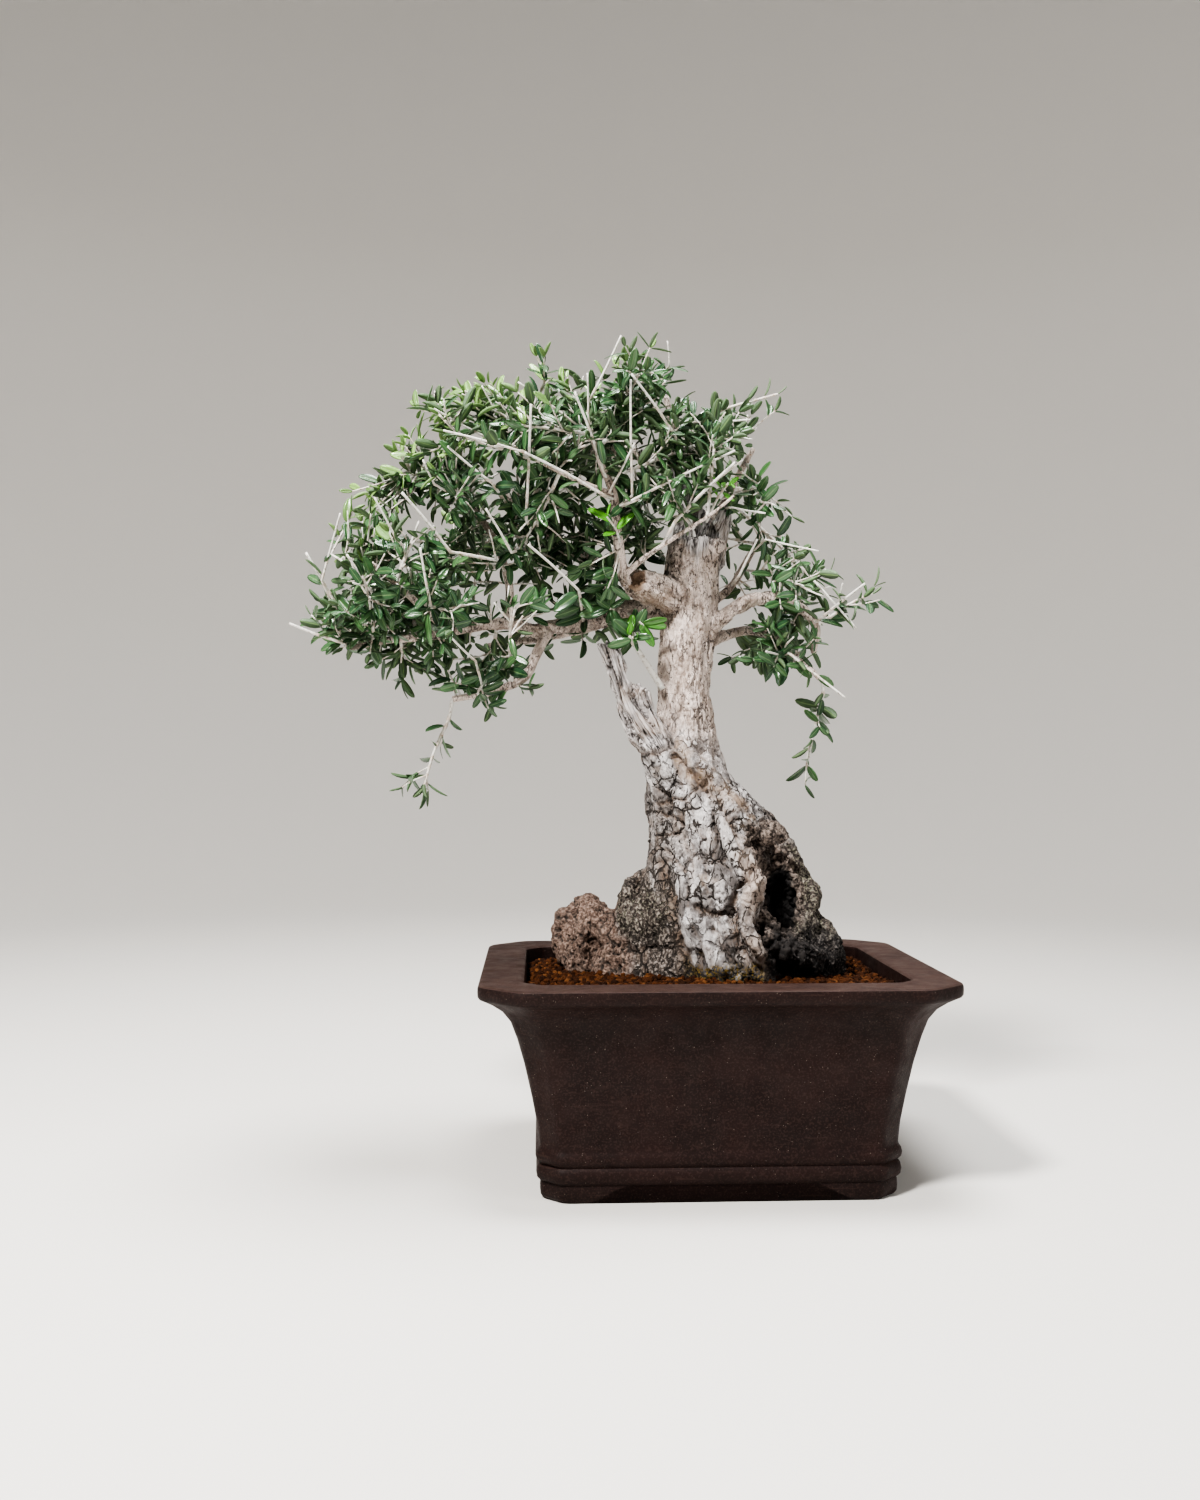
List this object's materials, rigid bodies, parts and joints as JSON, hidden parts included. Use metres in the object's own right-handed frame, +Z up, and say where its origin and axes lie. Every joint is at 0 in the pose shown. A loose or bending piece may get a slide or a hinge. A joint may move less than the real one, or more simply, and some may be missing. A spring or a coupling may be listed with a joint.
{
  "type": "bonsai tree",
  "caption": "Olive bonsai: old hollow trunk with deadwood and pruned limbs under an open crown of small leaves, in a deep rectangular stoneware pot on feet.",
  "frame": {"origin": "middle of the whole plant's footprint, on the ground under the pot's feet", "axes": "+Z up; the pot's broad front, which the crown is seen from, looks along -Y; the crown leans out to -X"},
  "size_m": [0.5184, 0.285, 0.6721],
  "materials": {
    "stoneware": "matte",
    "mesh": "matte",
    "soil": "matte",
    "bark": "matte",
    "leaf": "satin"
  },
  "bodies": {
    "root": {"pot": "stoneware", "drain_screen_left": "mesh", "drain_screen_right": "mesh", "soil": "soil", "trunk": "bark", "spray_01": "leaf", "spray_02": "leaf", "spray_03": "leaf", "spray_04": "leaf", "spray_05": "leaf", "spray_06": "leaf", "spray_07": "leaf", "spray_08": "leaf", "spray_09": "leaf", "spray_10": "leaf", "spray_11": "leaf", "spray_12": "leaf", "spray_13": "leaf", "spray_14": "leaf", "spray_15": "leaf", "spray_16": "leaf", "spray_17": "leaf", "spray_18": "leaf", "spray_19": "leaf", "spray_20": "leaf", "spray_21": "leaf", "spray_22": "leaf", "spray_23": "leaf", "spray_24": "leaf", "spray_25": "leaf", "spray_26": "leaf", "spray_27": "leaf", "spray_28": "leaf", "spray_29": "leaf", "spray_30": "leaf", "spray_31": "leaf", "spray_32": "leaf", "spray_33": "leaf", "spray_34": "leaf", "spray_35": "leaf", "spray_36": "leaf", "spray_37": "leaf", "spray_38": "leaf", "spray_39": "leaf", "spray_40": "leaf", "spray_41": "leaf", "spray_42": "leaf", "spray_43": "leaf", "spray_44": "leaf", "spray_45": "leaf", "spray_46": "leaf", "spray_47": "leaf", "spray_48": "leaf", "spray_49": "leaf", "spray_50": "leaf"}
  },
  "joints": []
}
